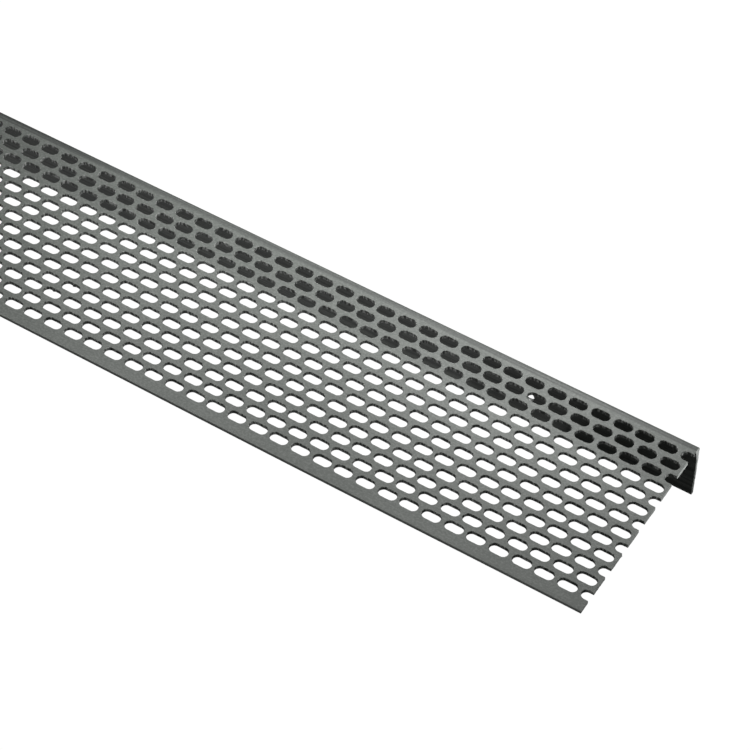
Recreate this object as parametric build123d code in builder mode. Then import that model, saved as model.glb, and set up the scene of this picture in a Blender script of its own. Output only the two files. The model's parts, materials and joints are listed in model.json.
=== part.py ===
from build123d import *
import os

# Angled vent strip: one extruded angle section, its wide flange punched with
# staggered rows of round-ended slots, its narrow flange plain but for a nail hole.
#
# Frame: +X runs along the strip, +Z is up.  The perforated flange lies level on
# top and reaches out towards -Y; the plain flange hangs down from its back edge.
# The origin is on the back face of the plain flange, at mid-length and mid-height.

# ---- driving dimensions, mm ------------------------------------------------
FLANGE_A = 100.0        # perforated flange, back face to free edge
FLANGE_B = 31.6         # plain flange, top face to lower edge
WALL = 1.8              # thickness of both flanges
BEND_OUT = 1.7          # outer radius of the corner
BEND_IN = 0.8           # inner radius of the corner
LIP = 0.35              # rounding of the four long free edges

SLOT_LENGTH = 8.63      # end to end, along the strip
SLOT_WIDTH = 4.73
ROWS = 13
ROW_PITCH = 6.985
FIRST_ROW = 7.77        # back face to the centre line of row 1
FEED = 32.15            # the strip moves this far between strokes of the punch
COLUMNS = 3             # slots per row made by one stroke
TOOL_PITCH = 10.91      # slot to slot within one stroke
STAGGER = 5.99          # even rows trail odd rows by this much

# Both saw cuts run through a slot, just past its middle: in the odd rows at the
# +X end, in the even rows at the -X end.
PAST_MIDDLE = 0.45
LENGTH = 12 * FEED + TOOL_PITCH + STAGGER + 2 * PAST_MIDDLE

NAIL_HOLE_D = 5.5
NAIL_FROM_END = 81.2    # from the +X cut
NAIL_FROM_TOP = 18.7    # below the top face

# ---- derived ---------------------------------------------------------------
TOP = FLANGE_B / 2
BOTTOM = -FLANGE_B / 2
END = LENGTH / 2


def slot_centres():
    """Centres of every slot that the strip's length takes in, whole or cut."""
    centres = []
    for row in range(1, ROWS + 1):
        y = -(FIRST_ROW + (row - 1) * ROW_PITCH)
        lag = STAGGER if row % 2 == 0 else 0.0
        stroke = 0
        while stroke * FEED < LENGTH:
            for column in range(COLUMNS):
                d = stroke * FEED + column * TOOL_PITCH + lag + PAST_MIDDLE
                if d - SLOT_LENGTH / 2 < LENGTH:
                    centres.append((END - d, y))
            stroke += 1
    return centres


def corner(sketch, y, z):
    """The corner of the section nearest (y, z), in the sketch's own plane."""
    return sketch.vertices().sort_by_distance((y, z, 0))[0]


os.makedirs("parts", exist_ok=True)

with BuildPart() as vent_strip:
    # the angle section, drawn across the strip and run its whole length
    with BuildSketch(Plane.YZ.offset(-END)) as section:
        with Locations((0, TOP)):
            Rectangle(FLANGE_A, WALL, align=(Align.MAX, Align.MAX))
            Rectangle(WALL, FLANGE_B, align=(Align.MAX, Align.MAX))
        fillet(corner(section, 0, TOP), radius=BEND_OUT)
        fillet(corner(section, -WALL, TOP - WALL), radius=BEND_IN)
        free = [
            corner(section, -FLANGE_A, TOP),
            corner(section, -FLANGE_A, TOP - WALL),
            corner(section, 0, BOTTOM),
            corner(section, -WALL, BOTTOM),
        ]
        fillet(free, radius=LIP)
    extrude(amount=LENGTH)

    # the slots, punched straight through the wide flange
    with BuildSketch(Plane.XY.offset(TOP)) as punch:
        with Locations(*slot_centres()):
            SlotOverall(SLOT_LENGTH, SLOT_WIDTH)
    extrude(amount=-WALL, mode=Mode.SUBTRACT)

    # the nail hole in the plain flange
    with BuildSketch(Plane.XZ) as nail:
        with Locations((END - NAIL_FROM_END, TOP - NAIL_FROM_TOP)):
            Circle(NAIL_HOLE_D / 2)
    extrude(amount=WALL, mode=Mode.SUBTRACT)

vent_strip.part.label = "vent_strip"
export_step(vent_strip.part, "parts/vent_strip.step")

print("length", round(LENGTH, 2), "slots", len(slot_centres()))
print("bounds", vent_strip.part.bounding_box())
print("volume", round(vent_strip.part.volume, 1), "faces", len(vent_strip.part.faces()))
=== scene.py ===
import json
import math

import bmesh
import bpy
import numpy as np
from mathutils import Matrix, Vector
from mathutils.geometry import delaunay_2d_cdt

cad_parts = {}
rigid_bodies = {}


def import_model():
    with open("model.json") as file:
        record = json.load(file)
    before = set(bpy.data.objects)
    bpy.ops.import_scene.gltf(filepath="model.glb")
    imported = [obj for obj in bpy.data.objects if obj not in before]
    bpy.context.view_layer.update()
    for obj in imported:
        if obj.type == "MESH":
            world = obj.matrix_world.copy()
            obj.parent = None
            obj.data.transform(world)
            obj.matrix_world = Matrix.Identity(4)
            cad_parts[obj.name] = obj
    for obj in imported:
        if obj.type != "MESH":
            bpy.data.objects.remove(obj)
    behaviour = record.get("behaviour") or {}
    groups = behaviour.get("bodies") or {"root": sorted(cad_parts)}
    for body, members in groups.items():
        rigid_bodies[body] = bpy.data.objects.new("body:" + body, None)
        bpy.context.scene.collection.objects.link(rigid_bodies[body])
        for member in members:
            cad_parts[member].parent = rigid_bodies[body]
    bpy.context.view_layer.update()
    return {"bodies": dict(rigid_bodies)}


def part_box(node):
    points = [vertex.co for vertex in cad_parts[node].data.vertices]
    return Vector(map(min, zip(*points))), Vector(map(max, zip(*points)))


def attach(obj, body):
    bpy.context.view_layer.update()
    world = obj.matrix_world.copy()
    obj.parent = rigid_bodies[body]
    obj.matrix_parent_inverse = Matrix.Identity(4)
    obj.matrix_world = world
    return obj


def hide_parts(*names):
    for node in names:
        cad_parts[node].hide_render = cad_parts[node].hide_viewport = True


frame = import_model()
node_lo, node_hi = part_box("vent_strip")

# ---------------------------------------------------------------------------
# Sizes in millimetres. +X runs along the strip, the slotted flange is level on
# top and reaches out to -Y, the plain flange hangs down at its back edge.
# ---------------------------------------------------------------------------
END = node_hi.x * 1000
TOP = node_hi.z * 1000
BOTTOM = node_lo.z * 1000
FREE = node_lo.y * 1000
WALL = 1.8
BEND_OUT = 1.7
BEND_IN = 0.8
LIP = 0.35

SLOT_LENGTH = 8.63
SLOT_WIDTH = 4.73
ROWS = 13
ROW_PITCH = 6.985
FIRST_ROW = 7.77
FEED = 32.15
COLUMNS = 3
TOOL_PITCH = 10.91
STAGGER = 5.99
PAST_MIDDLE = 0.45

NAIL_R = 2.75
NAIL_X = END - 81.2
NAIL_Z = TOP - 18.7

HALF_W = SLOT_WIDTH / 2
HALF_S = (SLOT_LENGTH - SLOT_WIDTH) / 2
SIDE = 0.25            # flat margin kept beside each rounding

# ---------------------------------------------------------------------------
# Mesh store: every vertex is made once, and faces share them
# ---------------------------------------------------------------------------
SKIN, PUNCHED, SAWN = 0, 1, 2
verts = []
faces = []
face_mat = []
rim_weight = {}
crease = set()


def vert(x, y, z):
    verts.append((x, y, z))
    return len(verts) - 1


def face(ids, mat=SKIN):
    faces.append(tuple(ids))
    face_mat.append(mat)


def mark(a, b):
    crease.add((a, b) if a < b else (b, a))


def noise1(u, seed, step):
    """Smooth repeatable noise of one variable, -1 to 1."""
    t = u / step
    i = math.floor(t)
    f = t - i
    f = f * f * (3 - 2 * f)

    def h(k):
        s = math.sin((k + seed * 131.7) * 12.9898) * 43758.5453
        return 2 * (s - math.floor(s)) - 1

    return h(i) * (1 - f) + h(i + 1) * f


# ---------------------------------------------------------------------------
# The two saw cuts. Both lean a little, and their edges are slightly ragged.
# ---------------------------------------------------------------------------
def cut(side, y, z, depth):
    """How far along X the saw cut lies at a point of the section; depth is 0 on the outer skin and 1 on the inner."""
    if side > 0:
        # the saw leaned: the slotted flange's top edge is set back from its lower edge, up to the notch of row 1
        near = min(max((y + 10.2) / 4.5, 0.0), 1.0)
        base = END - 0.47 + 0.41 * near + 0.13 * depth * (1 - near)
        if y > -3.0 and -6.0 < z < 9.0:
            base += 0.10 * math.sin(math.pi * (z + 6.0) / 15.0) * (0.6 + 0.4 * noise1(z, 3, 2.1))
        # it broke out obliquely on the upper part of the plain flange: its inner edge is set back there
        t = min(max((z - TOP + 9.5) / 7.5, 0.0), 1.0)
        t *= min(max((y + 5.0) / 3.4, 0.0), 1.0)
        base -= depth * t * t * (3 - 2 * t) * (0.75 + 0.15 * noise1(z, 41, 1.7))
    else:
        down = min(max((TOP - z) / 31.0, 0.0), 1.0)
        base = END - 0.22 - 0.16 * down
    u = y + 0.9 * z
    rough = 0.055 * noise1(u, 5 + side, 0.9) + 0.035 * noise1(u, 9 + side, 0.37)
    rough += 0.05 * noise1(u, 17 + side, 3.3)
    skin = 1.0 if depth < 0.01 else (0.8 if depth > 0.99 else 0.25)
    chip = max(0.0, noise1(u, 23 + side, 0.8) - 0.62) * (0.7 if depth < 0.01 else 0.25)
    burr = 0.09 * max(0.0, noise1(u, 31 + side, 1.3)) if depth > 0.99 else 0.0
    x = base + rough * skin - chip + burr - 0.05
    return side * min(x, END - 0.01)


# ---------------------------------------------------------------------------
# Slots. Each has five rings of points: the flat skin's edge, the rounding that
# the punch draws in, the sheared wall, and the torn exit.
# ---------------------------------------------------------------------------
RINGS = [            # (offset outwards, depth below the top face)
    (0.22, 0.0),
    (0.075, 0.05),
    (0.0, 0.17),
    (0.01, WALL - 0.22),
    (0.06, WALL),
]
ARC = 12
LINE = 4


def outline():
    """Unit description of the slot's outline, counterclockwise: (kind, parameter)."""
    pts = []
    for k in range(ARC + 1):
        pts.append(("r", -math.pi / 2 + math.pi * k / ARC))
    for k in range(1, LINE):
        pts.append(("t", 1 - 2 * k / LINE))
    for k in range(ARC + 1):
        pts.append(("l", math.pi / 2 + math.pi * k / ARC))
    for k in range(1, LINE):
        pts.append(("b", -1 + 2 * k / LINE))
    return pts


OUTLINE = outline()
N = len(OUTLINE)


def outline_point(item, cx, cy, r):
    kind, v = item
    if kind == "r":
        return cx + HALF_S + r * math.cos(v), cy + r * math.sin(v)
    if kind == "l":
        return cx - HALF_S + r * math.cos(v), cy + r * math.sin(v)
    if kind == "t":
        return cx + HALF_S * v, cy + r
    return cx + HALF_S * v, cy - r


slots = []
for row in range(1, ROWS + 1):
    y = -(FIRST_ROW + (row - 1) * ROW_PITCH)
    lag = STAGGER if row % 2 == 0 else 0.0
    stroke = 0
    while stroke * FEED < 2 * END:
        for column in range(COLUMNS):
            d = stroke * FEED + column * TOOL_PITCH + lag + PAST_MIDDLE
            if d - SLOT_LENGTH / 2 < 2 * END:
                slots.append((END - d, y, row, stroke, column))
        stroke += 1

# small torn slivers that the punch left hanging in a few slots:
# (x, y near the slot's wall, how far it reaches in)
SLIVERS = [
    (-95.2, -39.9, 0.75),
    (-72.6, -68.2, 0.80),
    (-78.6, -75.2, 0.65),
    (191.0, -47.4, 0.55),
    (162.0, -40.5, 0.50),
    (36.4, -61.4, 0.45),
    (118.0, -82.9, 0.40),
    (-20.5, -54.2, 0.45),
]

full = []            # rings of whole slots: list of 5 lists of vertex ids
notch = {1: [], -1: []}   # cut slots by end: (yc, 5 lists of ids from the upper lip round to the lower)
for cx, cy, row, stroke, column in slots:
    pin = np.random.RandomState(1000 + row * 7 + column)
    jx, jy, jr = pin.uniform(-0.05, 0.05), pin.uniform(-0.04, 0.04), pin.uniform(-0.03, 0.03)
    own = np.random.RandomState(5000 + row * 211 + stroke * 17 + column)
    jx += own.uniform(-0.02, 0.02)
    jy += own.uniform(-0.02, 0.02)
    cx2, cy2 = cx + jx, cy + jy
    # the punch dragged each slot's +X end a little longer, most near the cut end
    drag = 0.08 + 0.26 * math.exp(-max(END - 6.4 - cx, 0.0) / 20.0)
    side = 0
    if cx + SLOT_LENGTH / 2 > END - 0.7:
        side = 1
    elif cx - SLOT_LENGTH / 2 < -(END - 0.5):
        side = -1
    wob = own.uniform(-1, 1, (5, N))
    soft = (wob + np.roll(wob, 1, 1) + np.roll(wob, -1, 1)) / 3
    rings = []
    for level, (off, depth) in enumerate(RINGS):
        amp = (0.030, 0.025, 0.022, 0.045, 0.075)[level]
        ids = []
        for k, item in enumerate(OUTLINE):
            w = soft[level][k] * amp
            if level == 4:
                w += 0.10 * max(0.0, wob[3][k] - 0.75)
            x, y = outline_point(item, cx2, cy2, HALF_W + jr + off + w)
            x += drag * min(max((x - cx2) / HALF_S, 0.0), 1.0)
            z = TOP - depth
            if level == 3:
                z += 0.10 * soft[4][k]
            if side == 0:
                for sx, sy, reach in SLIVERS:
                    if abs(cx - sx) < 6 and abs(cy - sy) < 4 and level >= 3:
                        dist = math.hypot(x - sx, y - sy)
                        pull = math.exp(-((dist / 0.42) ** 2)) * reach * (1.0 if level == 4 else 0.35)
                        if pull > 0.02:
                            dx, dy = cx2 - x, cy2 - y
                            dl = math.hypot(dx, dy)
                            x += dx / dl * pull
                            y += dy / dl * pull
                            if level == 4:
                                z += 0.3 * pull
            ids.append((x, y, z))
        rings.append(ids)
    if side == 0:
        rr = []
        for level, pts in enumerate(rings):
            ids = [vert(*p) for p in pts]
            for v in ids:
                rim_weight[v] = (0.0, 1.0, 0.8, 0.15, 0.5)[level]
            rr.append(ids)
        for a, b in zip(rr[:-1], rr[1:]):
            for k in range(N):
                k2 = (k + 1) % N
                face((a[k], b[k], b[k2], a[k2]), PUNCHED)
        for k in range(N):
            mark(rr[0][k], rr[0][(k + 1) % N])
            mark(rr[4][k], rr[4][(k + 1) % N])
        full.append(rr)
    else:
        keep = [k for k, item in enumerate(OUTLINE) if item[0] == ("l" if side > 0 else "r")]
        rr = []
        for level, (off, depth) in enumerate(RINGS):
            r = HALF_W + jr + off
            z = TOP - depth
            depth_share = depth / WALL
            xa = cut(side, cy2 + side * r, z, depth_share)
            xb = cut(side, cy2 - side * r, z, depth_share)
            ids = [vert(xa, cy2 + side * r, z)]
            ids += [vert(*rings[level][k]) for k in keep]
            ids += [vert(xb, cy2 - side * r, z)]
            for v in ids:
                rim_weight[v] = (0.0, 1.0, 0.8, 0.15, 0.5)[level]
            rr.append(ids)
        for a, b in zip(rr[:-1], rr[1:]):
            for k in range(len(a) - 1):
                face((a[k], b[k], b[k + 1], a[k + 1]), PUNCHED)
        for k in range(len(rr[0]) - 1):
            mark(rr[0][k], rr[0][k + 1])
            mark(rr[4][k], rr[4][k + 1])
        if side < 0:
            rr = [r[::-1] for r in rr]
        # every list now starts at the slot's +Y lip and ends at its -Y lip
        notch[side].append((cy2, HALF_W + jr, rr))

# ---------------------------------------------------------------------------
# The section: columns of (outer point, inner point) from the free edge, along
# the slotted flange, round the bend and down the plain flange.
# ---------------------------------------------------------------------------
A0 = FREE + LIP + SIDE
A1_TOP = -BEND_OUT - SIDE
A1_LOW = -WALL - BEND_IN - SIDE
B0_OUT = TOP - BEND_OUT - SIDE
B0_IN = TOP - WALL - BEND_IN - SIDE
B1 = BOTTOM + LIP + SIDE
LEVELS = [d / WALL for _, d in RINGS]
ARCN = 8


def outer_arc(k):
    a = math.pi / 2 * (1 - k / ARCN)
    return -BEND_OUT + BEND_OUT * math.cos(a), TOP - BEND_OUT + BEND_OUT * math.sin(a)


def inner_arc(k):
    a = math.pi / 2 * (1 - k / ARCN)
    return (
        -WALL - BEND_IN + BEND_IN * math.cos(a),
        TOP - WALL - BEND_IN + BEND_IN * math.sin(a),
    )


def lip_arc(cy, cz, a0, a1, n=4):
    return [
        (cy + LIP * math.cos(a0 + (a1 - a0) * k / n), cz + LIP * math.sin(a0 + (a1 - a0) * k / n))
        for k in range(n + 1)
    ]


def end_columns(side):
    """Grid of vertex ids for one sawn end, as runs of columns with a notch between runs."""
    runs = []
    marks = sorted(notch[side], key=lambda n: n[0])     # from the free edge to the bend
    y = A0
    run = []

    def column(o, i):
        ids = []
        for level, share in enumerate(LEVELS):
            yy = o[0] + (i[0] - o[0]) * share
            zz = o[1] + (i[1] - o[1]) * share
            ids.append(vert(cut(side, yy, zz, share), yy, zz))
        return ids

    run.append(column((A0, TOP), (A0, TOP - WALL)))
    for cy, hw, rr in marks:
        lip = cy - hw - 0.3
        n = max(1, int(round((lip - y) / 0.55)))
        for k in range(1, n):
            yy = y + (lip - y) * k / n
            run.append(column((yy, TOP), (yy, TOP - WALL)))
        run.append([ring[-1] for ring in rr])
        runs.append(run)
        run = [[ring[0] for ring in rr]]
        y = cy + hw + 0.3
    n = max(2, int(round((A1_TOP - y) / 0.55)))
    for k in range(1, n):
        yy = y + (A1_LOW - y) * k / n
        run.append(column((yy, TOP), (yy, TOP - WALL)))
    run.append(column((A1_TOP, TOP), (A1_LOW, TOP - WALL)))
    a_end = len(run) - 1
    for k in range(ARCN + 1):
        run.append(column(outer_arc(k), inner_arc(k)))
    run.append(column((0.0, B0_OUT), (-WALL, B0_IN)))
    b_start = len(run) - 1
    n = 46
    for k in range(1, n):
        z_o = B0_OUT + (B1 - B0_OUT) * k / n
        z_i = B0_IN + (B1 - B0_IN) * k / n
        run.append(column((0.0, z_o), (-WALL, z_i)))
    run.append(column((0.0, B1), (-WALL, B1)))
    runs.append(run)
    return runs, a_end, b_start


ends = {}
for side in (1, -1):
    runs, a_end, b_start = end_columns(side)
    for run in runs:
        for a, b in zip(run[:-1], run[1:]):
            for level in range(4):
                face((a[level], b[level], b[level + 1], a[level + 1]), SAWN)
            mark(a[0], b[0])
            mark(a[4], b[4])
    # the sides of each notch are sharp edges of the sawn face
    for cy, hw, rr in notch[side]:
        for a, b in zip(rr[:-1], rr[1:]):
            mark(a[0], b[0])
            mark(a[-1], b[-1])
    ends[side] = (runs, a_end, b_start)

# ---------------------------------------------------------------------------
# Stations along the strip, and the long rounded strips between the two ends
# ---------------------------------------------------------------------------
STATIONS = list(np.linspace(-END + 3.2, END - 3.2, 81))


def long_line(y, z, left_id, right_id):
    """A line along X through all stations, from the left end's vertex to the right end's."""
    return [left_id] + [vert(x, y, z) for x in STATIONS] + [right_id]


def strip(a, b, mat=SKIN):
    for k in range(len(a) - 1):
        face((a[k], b[k], b[k + 1], a[k + 1]), mat)


L_runs, L_a, L_b = ends[-1]
R_runs, R_a, R_b = ends[1]
L_last, R_last = L_runs[-1], R_runs[-1]
L_first, R_first = L_runs[0], R_runs[0]

# round the bend, outside and inside
out_lines = []
in_lines = []
points = [(A1_TOP, TOP)] + [outer_arc(k) for k in range(ARCN + 1)] + [(0.0, B0_OUT)]
for k, (y, z) in enumerate(points):
    out_lines.append(long_line(y, z, L_last[L_a + k][0], R_last[R_a + k][0]))
points = [(A1_LOW, TOP - WALL)] + [inner_arc(k) for k in range(ARCN + 1)] + [(-WALL, B0_IN)]
for k, (y, z) in enumerate(points):
    in_lines.append(long_line(y, z, L_last[L_a + k][4], R_last[R_a + k][4]))
for a, b in zip(out_lines[:-1], out_lines[1:]):
    strip(a, b)
for a, b in zip(in_lines[:-1], in_lines[1:]):
    strip(b, a)


def tip(points, left_col, right_col):
    """The rounded free edge of a flange: lines through points, from the first flat side's line to the other's."""
    lines = [long_line(points[0][0], points[0][1], left_col[0], right_col[0])]
    for y, z in points[1:-1]:
        share = 0.0 if z > TOP - WALL / 2 or y > -WALL / 2 and z < 0 else 1.0
        lines.append(
            long_line(
                y,
                z,
                vert(cut(-1, y, z, share), y, z),
                vert(cut(1, y, z, share), y, z),
            )
        )
    lines.append(long_line(points[-1][0], points[-1][1], left_col[4], right_col[4]))
    for a, b in zip(lines[:-1], lines[1:]):
        strip(a, b)
    for end in (0, -1):
        col = left_col if end == 0 else right_col
        ring = [line[end] for line in lines]
        face(ring + [col[3], col[2], col[1]], SAWN)
        for a, b in zip(ring[:-1], ring[1:]):
            mark(a, b)
    return lines


free_pts = [(A0, TOP)]
free_pts += lip_arc(FREE + LIP, TOP - LIP, math.pi / 2, math.pi)
free_pts += lip_arc(FREE + LIP, TOP - WALL + LIP, math.pi, 1.5 * math.pi)
free_pts += [(A0, TOP - WALL)]
free_lines = tip(free_pts, L_first[0], R_first[0])
low_pts = [(0.0, B1)]
low_pts += lip_arc(-LIP, BOTTOM + LIP, 0.0, -math.pi / 2)
low_pts += lip_arc(-WALL + LIP, BOTTOM + LIP, -math.pi / 2, -math.pi)
low_pts += [(-WALL, B1)]
low_lines = tip(low_pts, L_last[-1], R_last[-1])

# ---------------------------------------------------------------------------
# The nail hole in the plain flange: a drilled hole with a slightly broken rim
# ---------------------------------------------------------------------------
NAIL_N = 40
nail_rings = []
for off, y in ((0.14, 0.0), (0.03, -0.10), (0.0, -0.2), (0.0, -WALL + 0.18), (0.05, -WALL + 0.08), (0.17, -WALL)):
    ids = []
    for k in range(NAIL_N):
        a = 2 * math.pi * k / NAIL_N
        r = NAIL_R + off + 0.02 * math.sin(3 * a + 5 * y)
        ids.append(vert(NAIL_X + r * math.cos(a), y, NAIL_Z + r * math.sin(a)))
    nail_rings.append(ids)
for a, b in zip(nail_rings[:-1], nail_rings[1:]):
    for k in range(NAIL_N):
        k2 = (k + 1) % NAIL_N
        face((a[k], b[k], b[k2], a[k2]), PUNCHED)
for k in range(NAIL_N):
    k2 = (k + 1) % NAIL_N
    mark(nail_rings[0][k], nail_rings[0][k2])
    mark(nail_rings[-1][k], nail_rings[-1][k2])


# ---------------------------------------------------------------------------
# Flat areas: a triangulation between the outer loop and the rings of the holes
# ---------------------------------------------------------------------------
def fill(loop, holes, u, v, mat=SKIN):
    """loop, counterclockwise, and holes are lists of vertex ids; u and v say which coordinates span the plane."""
    ids = list(loop)
    for h in holes:
        ids += h
    co = [Vector((verts[i][u], verts[i][v])) for i in ids]
    edges = []
    start = 0
    for ring in [loop] + list(holes):
        n = len(ring)
        edges += [(start + k, start + (k + 1) % n) for k in range(n)]
        start += n
    out_co, _, tris, orig, _, _ = delaunay_2d_cdt(co, edges, [], 0, 1e-7, True)
    back = [o[0] if len(o) == 1 else -1 for o in orig]
    if min(back) < 0 or len(back) != len(ids):
        raise RuntimeError("a flat area's outline crosses itself")
    wall = {frozenset(e) for e in edges}
    found = []
    owner = {}
    for t in tris:
        t = [back[i] for i in t]
        (ax, ay), (bx, by), (cx, cy) = (co[i] for i in t)
        if (bx - ax) * (cy - ay) - (by - ay) * (cx - ax) < 0:
            t = t[::-1]
        for k in range(3):
            owner[(t[k], t[(k + 1) % 3])] = len(found)
        found.append(t)
    # spread from the triangle just inside the outer loop, never over an outline
    todo = [owner[(0, 1)]]
    seen = set(todo)
    while todo:
        t = found[todo.pop()]
        face([ids[i] for i in t], mat)
        for k in range(3):
            e = (t[(k + 1) % 3], t[k])
            if frozenset(e) in wall or e not in owner:
                continue
            if owner[e] not in seen:
                seen.add(owner[e])
                todo.append(owner[e])


def a_loop(level, free_line, bend_line):
    """The slotted flange's outer loop at the top (level 0) or below (level 4), counterclockwise from above."""
    loop = list(free_line)
    for side in (1, -1):
        runs, a_end, b_start = ends[side]
        marks = sorted(notch[side], key=lambda n: n[0])
        path = []
        for r, run in enumerate(runs):
            cols = run if r < len(runs) - 1 else run[: a_end + 1]
            path += [c[level] for c in cols]
            if r < len(marks):
                path += marks[r][2][level][::-1][1:-1]
        if side > 0:
            loop += path[1:]
            loop += bend_line[::-1][1:]
        else:
            loop += path[::-1][1:-1]
    return loop


fill(
    a_loop(0, free_lines[0], out_lines[0]),
    [rr[0] for rr in full],
    0,
    1,
)
fill(
    a_loop(4, free_lines[-1], in_lines[0]),
    [rr[4] for rr in full],
    0,
    1,
)


def b_loop(level, top_line, low_line):
    loop = list(low_line)
    loop += [c[level] for c in R_last[R_b:-1]][::-1]
    loop += top_line[::-1][1:]
    loop += [c[level] for c in L_last[L_b + 1 : -1]]
    return loop


fill(b_loop(0, out_lines[-1], low_lines[0]), [nail_rings[0]], 0, 2)
fill(b_loop(4, in_lines[-1], low_lines[-1]), [nail_rings[-1]], 0, 2)

# ---------------------------------------------------------------------------
# A thin extrusion isn't quite flat: the free edge sags a little
# ---------------------------------------------------------------------------
co = np.array(verts)
reach = np.clip(-co[:, 1] / 100.0, 0, 1) ** 2
sag = 0.34 * np.exp(-(((co[:, 0] - 80.0) / 80.0) ** 2)) + 0.10 * (0.5 + 0.5 * np.sin(co[:, 0] / 37.0 + 1.0))
co[:, 2] -= sag * reach
co[:, 0] = np.clip(co[:, 0], -END, END)
co[:, 2] = np.clip(co[:, 2], BOTTOM, TOP)

mesh = bpy.data.meshes.new("angled_vent_strip")
mesh.from_pydata((co / 1000.0).tolist(), [], faces)
mesh.polygons.foreach_set("material_index", np.array(face_mat, np.int32))
mesh.polygons.foreach_set("use_smooth", np.ones(len(faces), bool))
mesh.update()

bm = bmesh.new()
bm.from_mesh(mesh)
bm.verts.ensure_lookup_table()
bmesh.ops.recalc_face_normals(bm, faces=bm.faces[:])
bmesh.ops.triangulate(bm, faces=[f for f in bm.faces if len(f.verts) > 4])
limit = math.radians(34)
open_edges = 0
for e in bm.edges:
    key = (e.verts[0].index, e.verts[1].index)
    key = key if key[0] < key[1] else (key[1], key[0])
    if len(e.link_faces) != 2:
        open_edges += 1
        continue
    if key in crease or e.calc_face_angle(0.0) > limit:
        e.smooth = False
bm.to_mesh(mesh)
bm.free()
rim = mesh.attributes.new("rim", "FLOAT", "POINT")
values = np.zeros(len(mesh.vertices), np.float32)
for i, w in rim_weight.items():
    values[i] = w
rim.data.foreach_set("value", values)
mesh.validate()

strip_obj = bpy.data.objects.new("perforated_angle", mesh)
bpy.context.scene.collection.objects.link(strip_obj)
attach(strip_obj, "root" if "root" in frame["bodies"] else list(frame["bodies"])[0])
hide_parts("vent_strip")


# ---------------------------------------------------------------------------
# Materials: matt rigid PVC, its punched walls and its sawn ends
# ---------------------------------------------------------------------------
class Graph:
    def __init__(self, name):
        self.mat = bpy.data.materials.new(name)
        self.mat.use_nodes = True
        self.tree = self.mat.node_tree
        self.tree.nodes.clear()
        self.out = self.tree.nodes.new("ShaderNodeOutputMaterial")
        self.bsdf = self.tree.nodes.new("ShaderNodeBsdfPrincipled")
        self.tree.links.new(self.bsdf.outputs["BSDF"], self.out.inputs["Surface"])
        self.coord = self.tree.nodes.new("ShaderNodeTexCoord").outputs["Object"]

    def new(self, kind, **values):
        n = self.tree.nodes.new(kind)
        for k, v in values.items():
            setattr(n, k, v)
        return n

    def link(self, a, b):
        self.tree.links.new(a, b)

    def noise(self, scale, detail=3.0, roughness=0.55, stretch=(1, 1, 1)):
        m = self.new("ShaderNodeMapping")
        m.inputs["Scale"].default_value = stretch
        self.link(self.coord, m.inputs["Vector"])
        n = self.new("ShaderNodeTexNoise")
        n.inputs["Scale"].default_value = scale
        n.inputs["Detail"].default_value = detail
        n.inputs["Roughness"].default_value = roughness
        self.link(m.outputs["Vector"], n.inputs["Vector"])
        return n.outputs["Fac"]

    def remap(self, value, a, b, c, d):
        n = self.new("ShaderNodeMapRange")
        n.inputs["From Min"].default_value = a
        n.inputs["From Max"].default_value = b
        n.inputs["To Min"].default_value = c
        n.inputs["To Max"].default_value = d
        self.link(value, n.inputs["Value"])
        return n.outputs["Result"]

    def math(self, op, a, b):
        n = self.new("ShaderNodeMath", operation=op)
        for k, x in enumerate((a, b)):
            if isinstance(x, (int, float)):
                n.inputs[k].default_value = x
            else:
                self.link(x, n.inputs[k])
        return n.outputs[0]

    def mix(self, fac, a, b, blend="MIX"):
        n = self.new("ShaderNodeMix", data_type="RGBA", blend_type=blend)
        for key, x in ((0, fac), (6, a), (7, b)):
            if isinstance(x, (int, float)):
                n.inputs[key].default_value = x
            elif isinstance(x, tuple):
                n.inputs[key].default_value = (*x, 1.0)
            else:
                self.link(x, n.inputs[key])
        return n.outputs[2]

    def bump(self, layers):
        """layers: (height output, distance in metres, strength), applied one on another."""
        normal = None
        for height, distance, strength in layers:
            b = self.new("ShaderNodeBump")
            b.inputs["Distance"].default_value = distance
            b.inputs["Strength"].default_value = strength
            self.link(height, b.inputs["Height"])
            if normal is not None:
                self.link(normal, b.inputs["Normal"])
            normal = b.outputs["Normal"]
        self.link(normal, self.bsdf.inputs["Normal"])


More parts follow.
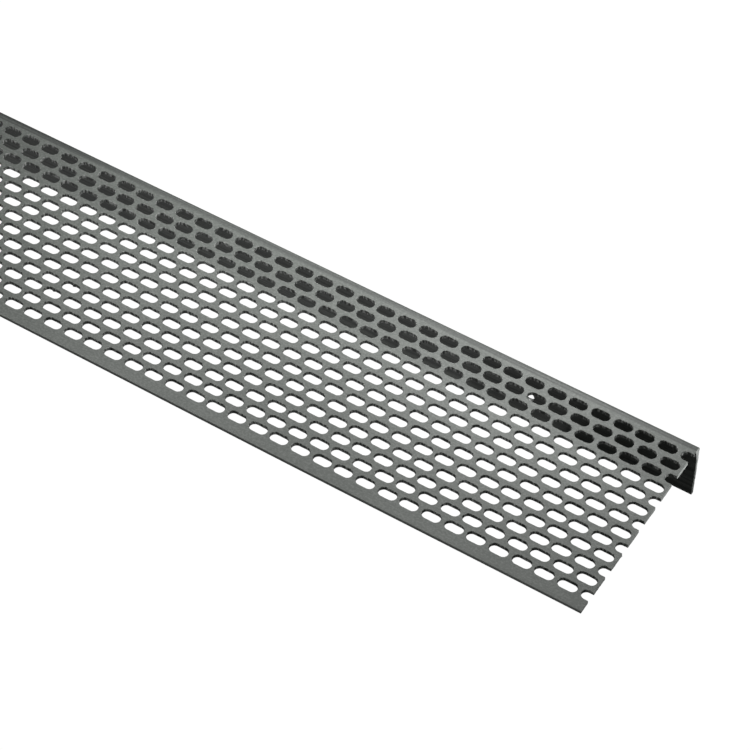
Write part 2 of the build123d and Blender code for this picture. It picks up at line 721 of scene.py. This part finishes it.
def pvc_skin():
    g = Graph("rigid_pvc_skin")
    grain = g.noise(2100.0, 3.0, 0.6)
    fleck = g.noise(900.0, 2.0, 0.5)
    pebble = g.noise(1150.0, 1.5, 0.5, (0.75, 1.0, 1.0))
    patch = g.noise(55.0, 3.0, 0.55)
    lines = g.noise(520.0, 3.0, 0.6, (0.012, 1.0, 1.0))
    broad = g.noise(140.0, 2.0, 0.5, (0.02, 1.0, 1.0))
    dark = (0.172, 0.187, 0.172)
    light = (0.216, 0.232, 0.214)
    c = g.mix(g.remap(patch, 0.3, 0.7, 0.0, 1.0), dark, light)
    c = g.mix(g.remap(lines, 0.35, 0.65, 0.0, 0.30), c, (0.152, 0.166, 0.153))
    c = g.mix(g.remap(broad, 0.4, 0.62, 0.0, 0.22), c, (0.232, 0.246, 0.230))
    c = g.mix(g.remap(grain, 0.42, 0.75, 0.0, 0.35), c, (0.28, 0.295, 0.28))
    c = g.mix(g.remap(fleck, 0.30, 0.44, 0.45, 0.0), c, (0.11, 0.121, 0.112))
    c = g.mix(g.remap(pebble, 0.36, 0.64, 0.42, 0.0), c, (0.118, 0.130, 0.120))
    c = g.mix(g.remap(pebble, 0.50, 0.72, 0.0, 0.40), c, (0.275, 0.292, 0.272))
    # the skin is painted lighter round each slot's rim, partly as scuffing and partly as a painted highlight
    a = g.new("ShaderNodeAttribute", attribute_name="rim")
    scuff_and_highlight = g.math("MULTIPLY", a.outputs["Fac"], g.remap(fleck, 0.3, 0.7, 0.2, 0.6))
    c = g.mix(scuff_and_highlight, c, (0.27, 0.285, 0.268))
    # and a darker band is painted round the bend
    sep = g.new("ShaderNodeSeparateXYZ")
    g.link(g.coord, sep.inputs[0])
    wander = g.math("ADD", sep.outputs["Y"], g.remap(lines, 0.3, 0.7, -0.0003, 0.0003))
    wander = g.math("ADD", wander, g.remap(sep.outputs["X"], 0.01, 0.165, 0.0008, 0.0001))
    near = g.remap(wander, -0.0034, -0.0025, 0.0, 1.0)
    # the band ends a little below the bend outside; inside, the plain flange and the underside next to the bend are
    # painted dark all over, as painted shade under the slotted flange
    below = g.remap(sep.outputs["Z"], 0.0112, 0.0140, 0.0, 1.0)
    shade_under_flange = g.remap(sep.outputs["Y"], -0.0014, -0.0010, 1.0, 0.0)
    near = g.math("MULTIPLY", near, g.math("MAXIMUM", below, shade_under_flange))
    streak = g.remap(lines, 0.40, 0.60, 0.40, 0.94)
    c = g.mix(g.math("MULTIPLY", near, streak), c, (0.060, 0.065, 0.062))
    # handling scuffed the free edge lighter
    c = g.mix(g.remap(sep.outputs["Y"], -0.0999, -0.0994, 0.55, 0.0), c, (0.42, 0.44, 0.42))
    g.link(c, g.bsdf.inputs["Base Color"])
    rough = g.math("ADD", g.remap(fleck, 0.3, 0.7, 0.46, 0.58), g.remap(lines, 0.3, 0.7, -0.04, 0.04))
    g.link(rough, g.bsdf.inputs["Roughness"])
    g.bsdf.inputs["IOR"].default_value = 1.5
    g.bump([
        (broad, 0.00006, 0.5),
        (lines, 0.00003, 0.6),
        (grain, 0.00003, 0.7),
    ])
    return g.mat


def pvc_wall():
    g = Graph("rigid_pvc_punched")
    tear = g.noise(900.0, 2.5, 0.6, (1.0, 1.0, 0.30))
    blotch = g.noise(420.0, 3.0, 0.6)
    sep = g.new("ShaderNodeSeparateXYZ")
    g.link(g.coord, sep.inputs[0])
    # the wall is painted much darker than the skin, as painted shade in the slots; the light tear streaks are the
    # torn surface, and the near-black ones deepen the painted shade
    c = g.mix(g.remap(blotch, 0.3, 0.7, 0.0, 1.0), (0.052, 0.057, 0.053), (0.130, 0.140, 0.131))
    c = g.mix(g.remap(tear, 0.50, 0.60, 0.0, 0.85), c, (0.47, 0.485, 0.465))
    c = g.mix(g.remap(tear, 0.39, 0.47, 0.7, 0.0), c, (0.018, 0.020, 0.018))
    # the drawn-in rounding at the top of each wall is painted lighter, partly as scuffing and partly as a painted
    # highlight
    a = g.new("ShaderNodeAttribute", attribute_name="rim")
    c = g.mix(g.remap(a.outputs["Fac"], 0.6, 1.0, 0.0, 0.25), c, (0.22, 0.235, 0.22))
    g.link(c, g.bsdf.inputs["Base Color"])
    g.link(g.remap(tear, 0.3, 0.7, 0.62, 0.42), g.bsdf.inputs["Roughness"])
    g.bsdf.inputs["IOR"].default_value = 1.5
    g.bump([(blotch, 0.00012, 0.6), (tear, 0.00010, 0.8)])
    return g.mat


def pvc_sawn():
    g = Graph("rigid_pvc_sawn")
    marks = g.noise(1300.0, 3.0, 0.6, (1.0, 0.35, 1.0))
    fray = g.noise(2600.0, 4.0, 0.7)
    streaks = g.remap(marks, 0.3, 0.7, 0.0, 1.0)
    c = g.mix(streaks, (0.20, 0.21, 0.20), (0.36, 0.373, 0.36))
    # the sawn face is lighter round the corner and on the outer side of the plain flange's upper half, whitened by
    # the saw and painted light there; the plain flange's inner side lower down and its whole lower half are painted
    # dark as painted shade, and a dark smear runs just above row 1's notch
    sep = g.new("ShaderNodeSeparateXYZ")
    g.link(g.coord, sep.inputs[0])
    lip = g.math("ABSOLUTE", g.math("ADD", sep.outputs["Y"], 0.0047), 0.0)
    saw_whitened_and_lit = g.remap(sep.outputs["Y"], -0.024, -0.018, 0.0, 1.0)
    c = g.mix(saw_whitened_and_lit, c, g.mix(streaks, (0.30, 0.315, 0.30), (0.52, 0.54, 0.52)))
    inner = g.math("MULTIPLY", g.remap(sep.outputs["Y"], -0.0012, -0.0007, 0.85, 0.0), g.remap(sep.outputs["Z"], 0.007, 0.012, 1.0, 0.0))
    shade_and_smear = g.math("MAXIMUM", inner, g.remap(sep.outputs["Z"], -0.003, 0.002, 0.9, 0.0))
    shade_and_smear = g.math("MAXIMUM", shade_and_smear, g.remap(lip, 0.0009, 0.0014, 0.85, 0.0))
    c = g.mix(shade_and_smear, c, (0.022, 0.024, 0.022))
    c = g.mix(g.remap(fray, 0.35, 0.6, 0.35, 0.0), c, (0.10, 0.107, 0.10))
    g.link(c, g.bsdf.inputs["Base Color"])
    g.link(g.remap(fray, 0.3, 0.7, 0.55, 0.8), g.bsdf.inputs["Roughness"])
    g.bsdf.inputs["IOR"].default_value = 1.5
    g.bump([(marks, 0.00010, 0.7), (fray, 0.00006, 0.7)])
    return g.mat


for m in (pvc_skin(), pvc_wall(), pvc_sawn()):
    mesh.materials.append(m)

# ---------------------------------------------------------------------------
# Stage: a plain white floor and backdrop that the camera sees and that throw
# little light back, an overhead soft light and a soft sky
# ---------------------------------------------------------------------------
def stage_material():
    m = bpy.data.materials.new("studio_white")
    m.use_nodes = True
    t = m.node_tree
    t.nodes.clear()
    out = t.nodes.new("ShaderNodeOutputMaterial")
    em = t.nodes.new("ShaderNodeEmission")
    em.inputs["Color"].default_value = (1, 1, 1, 1)
    em.inputs["Strength"].default_value = 1.02
    t.links.new(em.outputs[0], out.inputs["Surface"])
    return m


white = stage_material()


def stage_object(name, build):
    me = bpy.data.meshes.new(name)
    b = bmesh.new()
    build(b)
    b.to_mesh(me)
    b.free()
    me.materials.append(white)
    o = bpy.data.objects.new(name, me)
    bpy.context.scene.collection.objects.link(o)
    for flag in ("visible_diffuse", "visible_glossy", "visible_transmission", "visible_shadow"):
        setattr(o, flag, False)
    return o


floor_z = BOTTOM / 1000.0 - 0.0002
stage_object(
    "studio_floor",
    lambda b: bmesh.ops.create_circle(
        b, cap_ends=True, segments=96, radius=3.0, matrix=Matrix.Translation((0, 0, floor_z))
    ),
)
stage_object(
    "studio_backdrop",
    lambda b: bmesh.ops.create_uvsphere(
        b, u_segments=48, v_segments=24, radius=6.0, matrix=Matrix.Translation((0, 0, 0))
    ),
)

world = bpy.data.worlds.new("studio_sky")
bpy.context.scene.world = world
world.use_nodes = True
wt = world.node_tree
wt.nodes.clear()
w_out = wt.nodes.new("ShaderNodeOutputWorld")
w_bg = wt.nodes.new("ShaderNodeBackground")
w_co = wt.nodes.new("ShaderNodeTexCoord")
w_sep = wt.nodes.new("ShaderNodeSeparateXYZ")
w_ramp = wt.nodes.new("ShaderNodeValToRGB")
wt.links.new(w_co.outputs["Generated"], w_sep.inputs[0])
w_map = wt.nodes.new("ShaderNodeMapRange")
w_map.inputs["From Min"].default_value = -1.0
w_map.inputs["From Max"].default_value = 1.0
wt.links.new(w_sep.outputs["Z"], w_map.inputs["Value"])
wt.links.new(w_map.outputs["Result"], w_ramp.inputs["Fac"])
r = w_ramp.color_ramp
r.elements[0].position = 0.0
r.elements[0].color = (0.012, 0.012, 0.012, 1)
r.elements[1].position = 1.0
r.elements[1].color = (0.285, 0.285, 0.285, 1)
e = r.elements.new(0.52)
e.color = (0.012, 0.012, 0.012, 1)
e = r.elements.new(0.68)
e.color = (0.285, 0.285, 0.285, 1)
wt.links.new(w_ramp.outputs["Color"], w_bg.inputs["Color"])
w_bg.inputs["Strength"].default_value = 1.0
wt.links.new(w_bg.outputs[0], w_out.inputs["Surface"])


def area(name, place, target, size, size_y, power, spread=180.0):
    data = bpy.data.lights.new(name, "AREA")
    data.shape = "RECTANGLE"
    data.size, data.size_y = size, size_y
    data.energy = power
    data.spread = math.radians(spread)
    o = bpy.data.objects.new(name, data)
    o.location = place
    o.rotation_euler = (Vector(target) - Vector(place)).to_track_quat("-Z", "Y").to_euler()
    bpy.context.scene.collection.objects.link(o)
    return o


area("overhead_right", (0.10, 0.07, 0.15), (0.10, -0.01, 0.016), 0.14, 0.05, 0.195)
area("overhead_middle", (0.0, 0.07, 0.15), (0.0, -0.01, 0.016), 0.14, 0.05, 0.090)
area("overhead_left", (-0.085, -0.02, 0.14), (-0.085, -0.019, 0.016), 0.10, 0.05, 0.064)
area("end_fill", (0.30, 0.02, 0.0), (0.2, -0.02, 0.010), 0.05, 0.05, 0.10)
# the white ground throws some light up under the slotted flange
for name, x, length, power in (("floor_bounce", -0.06, 0.30, 0.032), ("floor_bounce_end", 0.113, 0.05, 0.0027)):
    bounce = area(name, (x, -0.05, floor_z - 0.0005), (x, -0.05, 0.1), length, 0.10, power)
    bounce.rotation_euler = (math.pi, 0.0, 0.0)

# ---------------------------------------------------------------------------
# Camera: a long lens above the free edge, turned towards the cut end
# ---------------------------------------------------------------------------
cam_data = bpy.data.cameras.new("camera")
cam_data.sensor_fit = "HORIZONTAL"
cam_data.sensor_width = 36.0
cam_data.lens = 133.0615
cam_data.clip_start, cam_data.clip_end = 0.05, 50.0
cam = bpy.data.objects.new("camera", cam_data)
cam.location = (0.469753, -0.683961, 0.924076)
cam.rotation_euler = [math.radians(a) for a in (39.88822, -0.32242, 32.47843)]
bpy.context.scene.collection.objects.link(cam)
bpy.context.scene.camera = cam

scene = bpy.context.scene
scene.view_settings.view_transform = "Standard"
scene.view_settings.look = "None"
scene.view_settings.exposure = 0.0
scene.view_settings.gamma = 1.0

bpy.context.view_layer.update()
triangles = sum(len(p.vertices) - 2 for p in mesh.polygons)
print("triangles", triangles, "open edges", open_edges, "slots", len(slots))
